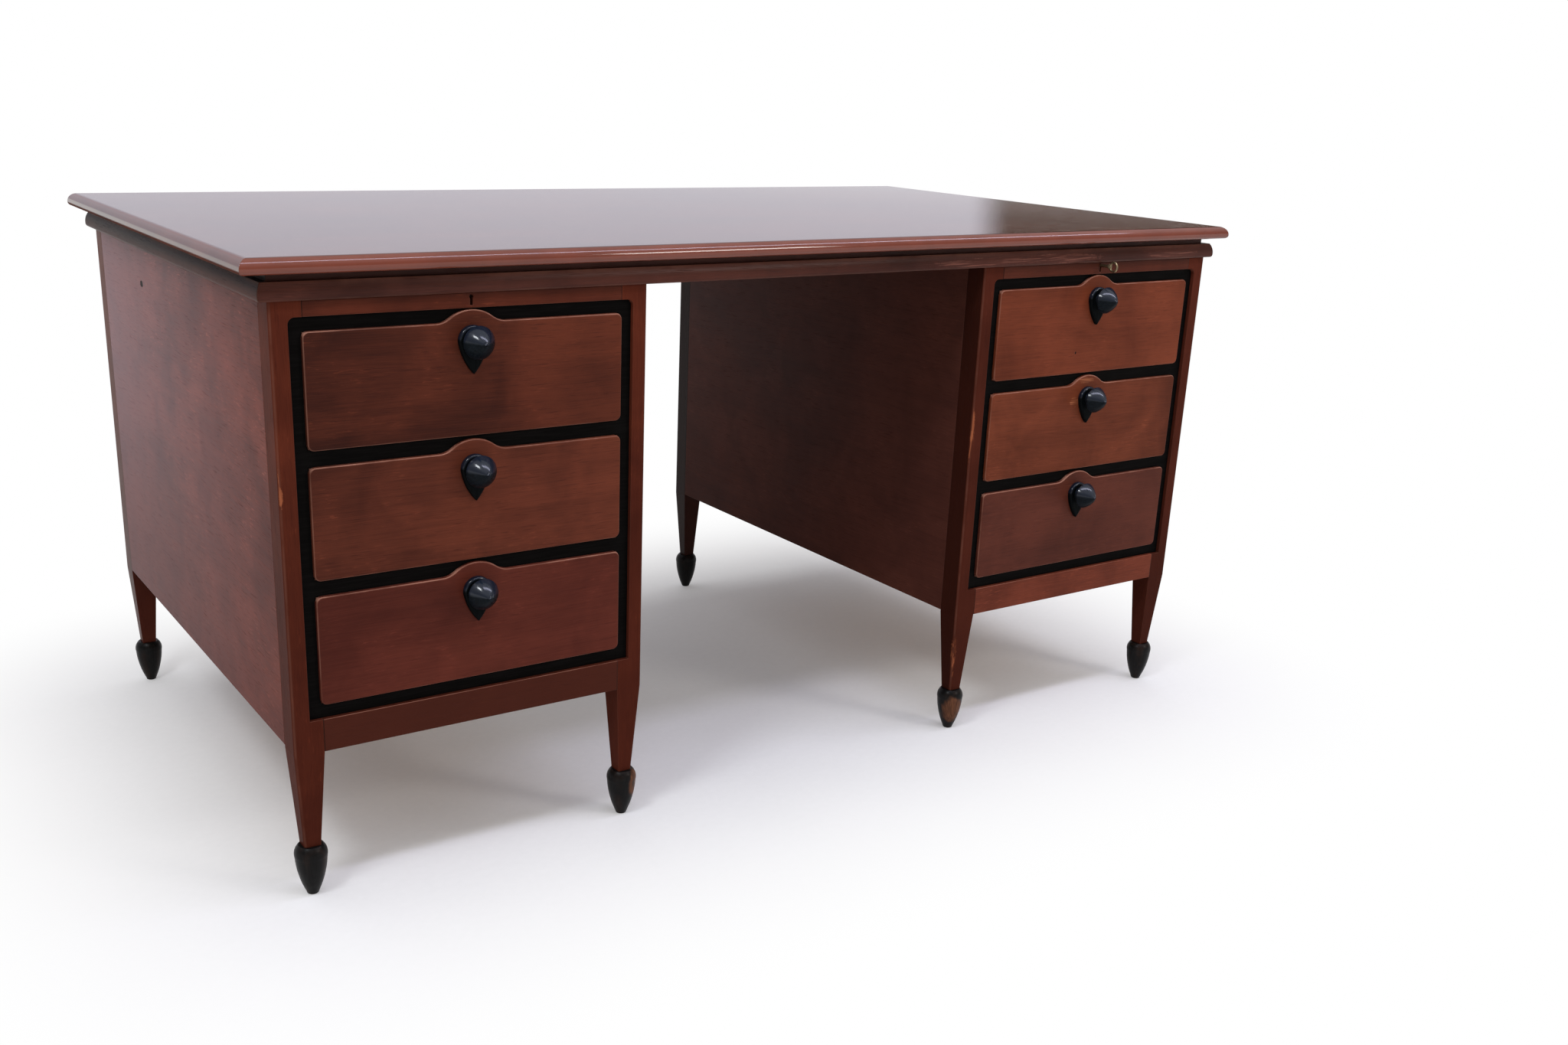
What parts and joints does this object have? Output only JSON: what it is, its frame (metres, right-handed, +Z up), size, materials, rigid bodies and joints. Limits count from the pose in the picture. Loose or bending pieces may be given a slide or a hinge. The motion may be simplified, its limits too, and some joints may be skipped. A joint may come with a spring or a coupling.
{
  "type": "pedestal desk",
  "caption": "Mahogany pedestal desk: moulded top, side panels between tapered legs on black turned feet, hump-topped sliding drawers with black knobs, locks and a key.",
  "frame": {"origin": "on the floor, below the middle of the desk's box", "axes": "+X along the top towards the key's side, the drawers face -Y, +Z up"},
  "size_m": [1.548, 0.876, 0.765],
  "materials": {
    "mahogany": "old shellac polish, satin, worn lighter on the edges",
    "ebonised_wood": "black stain under gloss polish",
    "oak": "plain, unpolished",
    "steel": "dull, darkened",
    "old_brass": "dull, worn by handling"
  },
  "bodies": {
    "desk": {"desk_top": "mahogany", "moulding_front": "mahogany", "moulding_back": "mahogany", "moulding_left": "mahogany", "moulding_right": "mahogany", "top_bearers": "oak", "top_screws": "steel", "top_dowels": "oak", "left_front_outer_leg": "mahogany", "left_front_inner_leg": "mahogany", "left_back_outer_leg": "mahogany", "left_back_inner_leg": "mahogany", "left_outer_panel": "mahogany", "left_inner_panel": "mahogany", "left_back_panel": "mahogany", "left_top_rail": "mahogany", "left_bottom_rail": "mahogany", "left_feet": "ebonised_wood", "left_ebonised_frame": "ebonised_wood", "left_drawer_runners": "oak", "right_front_outer_leg": "mahogany", "right_front_inner_leg": "mahogany", "right_back_outer_leg": "mahogany", "right_back_inner_leg": "mahogany", "right_outer_panel": "mahogany", "right_inner_panel": "mahogany", "right_back_panel": "mahogany", "right_top_rail": "mahogany", "right_bottom_rail": "mahogany", "right_feet": "ebonised_wood", "right_ebonised_frame": "ebonised_wood", "right_drawer_runners": "oak", "lock_cases": "steel"},
    "left_top_drawer": {"left_top_drawer_front": "mahogany", "left_top_drawer_box": "oak", "left_top_drawer_rose": "ebonised_wood", "left_top_drawer_knob": "ebonised_wood"},
    "left_middle_drawer": {"left_middle_drawer_front": "mahogany", "left_middle_drawer_box": "oak", "left_middle_drawer_rose": "ebonised_wood", "left_middle_drawer_knob": "ebonised_wood"},
    "left_bottom_drawer": {"left_bottom_drawer_front": "mahogany", "left_bottom_drawer_box": "oak", "left_bottom_drawer_rose": "ebonised_wood", "left_bottom_drawer_knob": "ebonised_wood"},
    "right_top_drawer": {"right_top_drawer_front": "mahogany", "right_top_drawer_box": "oak", "right_top_drawer_rose": "ebonised_wood", "right_top_drawer_knob": "ebonised_wood"},
    "right_middle_drawer": {"right_middle_drawer_front": "mahogany", "right_middle_drawer_box": "oak", "right_middle_drawer_rose": "ebonised_wood", "right_middle_drawer_knob": "ebonised_wood"},
    "right_bottom_drawer": {"right_bottom_drawer_front": "mahogany", "right_bottom_drawer_box": "oak", "right_bottom_drawer_rose": "ebonised_wood", "right_bottom_drawer_knob": "ebonised_wood"},
    "lock_key": {"key": "old_brass"},
    "left_bolt": {"left_lock_bolt": "steel"},
    "right_bolt": {"right_lock_bolt": "steel"}
  },
  "joints": [
    {"name": "left_top_drawer_slide", "type": "slide", "parent": "desk", "child": "left_top_drawer", "axis": [0, -1, 0], "range_m": [0, 0.45]},
    {"name": "left_middle_drawer_slide", "type": "slide", "parent": "desk", "child": "left_middle_drawer", "axis": [0, -1, 0], "range_m": [0, 0.45]},
    {"name": "left_bottom_drawer_slide", "type": "slide", "parent": "desk", "child": "left_bottom_drawer", "axis": [0, -1, 0], "range_m": [0, 0.45]},
    {"name": "right_top_drawer_slide", "type": "slide", "parent": "desk", "child": "right_top_drawer", "axis": [0, -1, 0], "range_m": [0, 0.45]},
    {"name": "right_middle_drawer_slide", "type": "slide", "parent": "desk", "child": "right_middle_drawer", "axis": [0, -1, 0], "range_m": [0, 0.45]},
    {"name": "right_bottom_drawer_slide", "type": "slide", "parent": "desk", "child": "right_bottom_drawer", "axis": [0, -1, 0], "range_m": [0, 0.45]},
    {"name": "key_turn", "type": "hinge", "parent": "desk", "child": "lock_key", "pos_m": [0.5095, -0.397, 0.713], "axis": [0, 1, 0], "range_deg": [0, 90]},
    {"name": "left_bolt_slide", "type": "slide", "parent": "desk", "child": "left_bolt", "axis": [0, 0, -1], "range_m": [0, 0.009]},
    {"name": "right_bolt_slide", "type": "slide", "parent": "desk", "child": "right_bolt", "axis": [0, 0, -1], "range_m": [0, 0.009]}
  ],
  "couplings": [
    {"joint": "key_turn", "follows": "right_bolt_slide", "rad_per_m": 174.5}
  ]
}
